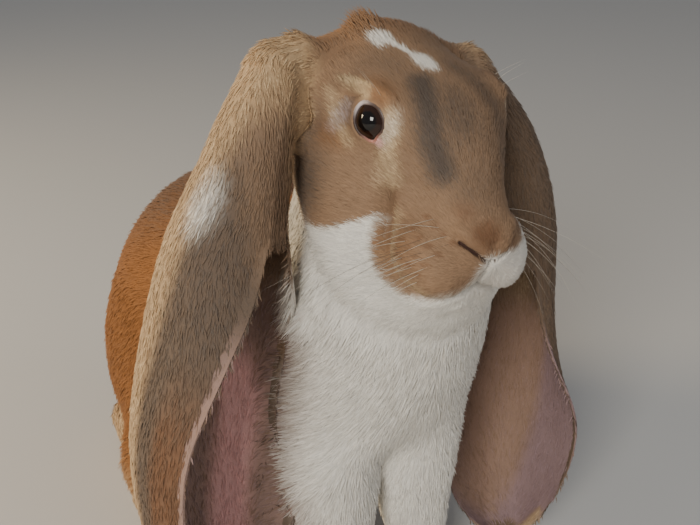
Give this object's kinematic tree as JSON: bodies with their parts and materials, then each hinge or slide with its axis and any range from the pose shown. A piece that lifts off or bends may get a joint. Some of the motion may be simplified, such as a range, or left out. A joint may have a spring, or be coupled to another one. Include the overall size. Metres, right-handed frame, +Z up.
{
  "type": "lop rabbit",
  "caption": "Life-size still model of a lop-eared rabbit, sitting upright on straight forelegs with its long folded ears hanging beside its cheeks.",
  "frame": {"origin": "on the floor, under the middle of the whole model's bounding box", "axes": "+Z up; the rabbit faces -Y, and +X is its own left side"},
  "size_m": [0.246, 0.3728, 0.3187],
  "materials": {
    "coat_fawn": "short soft fur, fawn",
    "coat_orange": "soft fur, orange fawn",
    "coat_white": "soft fur, cream white",
    "coat_grey": "short sleek fur, grey",
    "eye": "wet, polished",
    "claw": "smooth horn"
  },
  "bodies": {
    "root": {"head": "coat_fawn", "neck": "coat_white", "trunk": "coat_orange", "tail": "coat_orange", "forepaw_right": "coat_white", "forepaw_left": "coat_white", "foreleg_right": "coat_white", "foreleg_left": "coat_white", "hindfoot_right": "coat_white", "hindfoot_left": "coat_white", "hindleg_right": "coat_orange", "hindleg_left": "coat_orange", "eye_right": "eye", "eye_left": "eye", "ear_right": "coat_grey", "ear_left": "coat_grey"}
  },
  "joints": []
}
